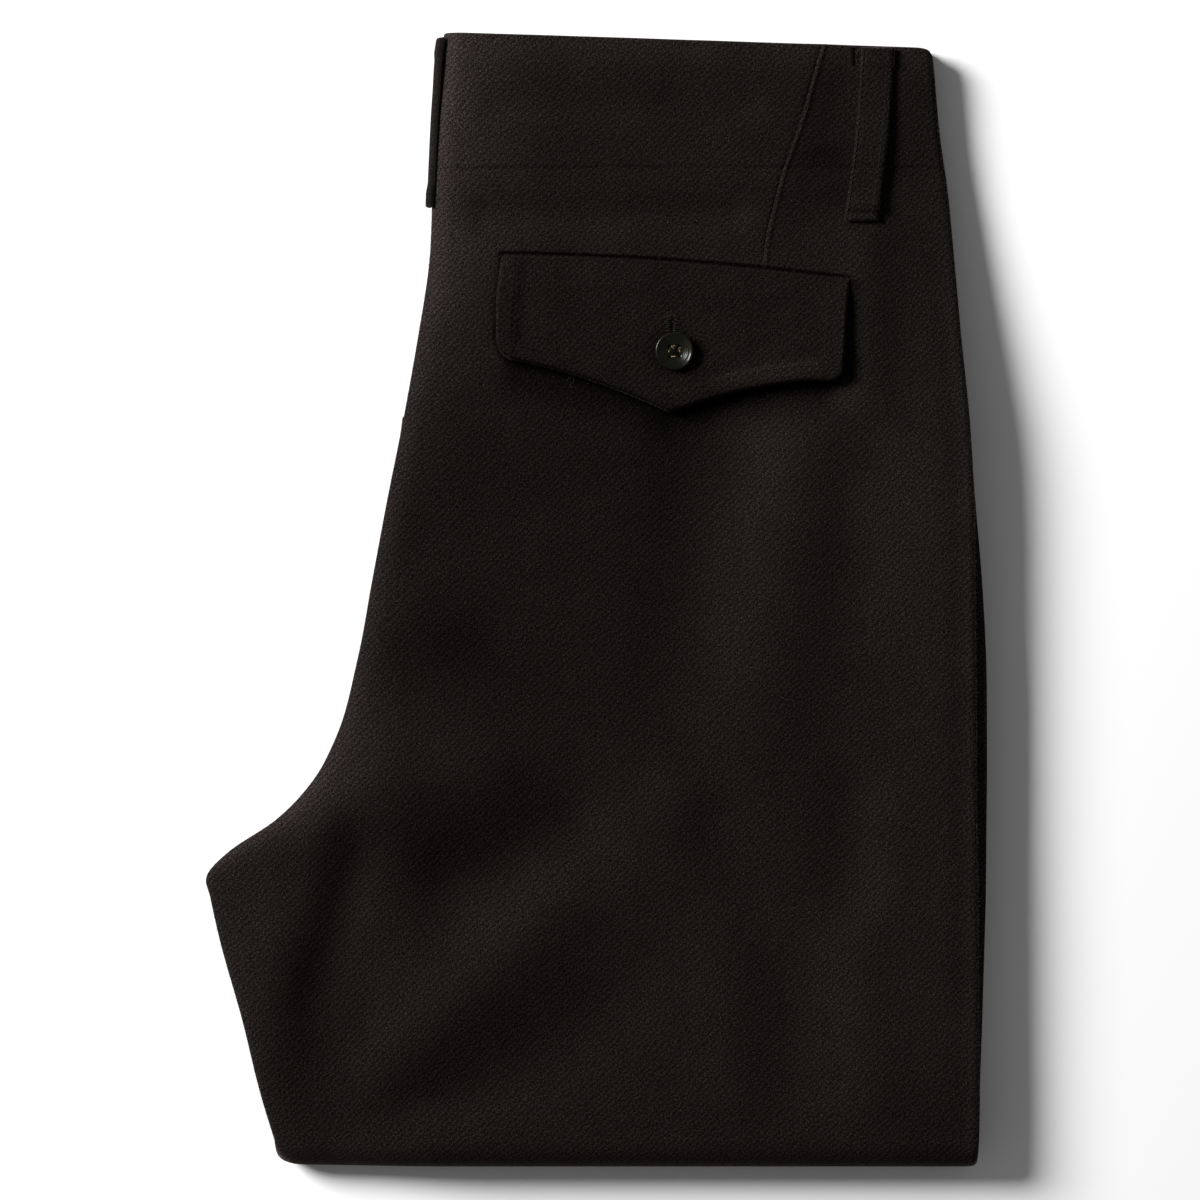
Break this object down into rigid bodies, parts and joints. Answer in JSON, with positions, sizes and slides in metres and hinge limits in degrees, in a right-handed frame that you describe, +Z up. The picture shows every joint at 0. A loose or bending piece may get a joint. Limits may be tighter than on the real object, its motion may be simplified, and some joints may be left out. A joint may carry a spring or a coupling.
{
  "type": "folded wool trousers",
  "caption": "Dark wool trousers folded lengthwise at the centre back and again across the legs, with a buttoned pointed back pocket flap and belt loops, lying flat.",
  "frame": {"origin": "centre of the bounding box's footprint, on the surface the trousers lie on", "axes": "+X across the trousers from the centre back fold to the side seam, +Y up to the waist, +Z up from the surface"},
  "size_m": [0.3209, 0.4666, 0.0275],
  "materials": {
    "wool": "napped brown-black wool twill",
    "button": "dark horn-like gloss"
  },
  "bodies": {
    "root": {"back_right": "wool", "folded_layers": "wool", "pocket_flap": "wool", "belt_loop_side": "wool", "belt_loop_back": "wool", "pocket_button": "button"}
  },
  "joints": []
}
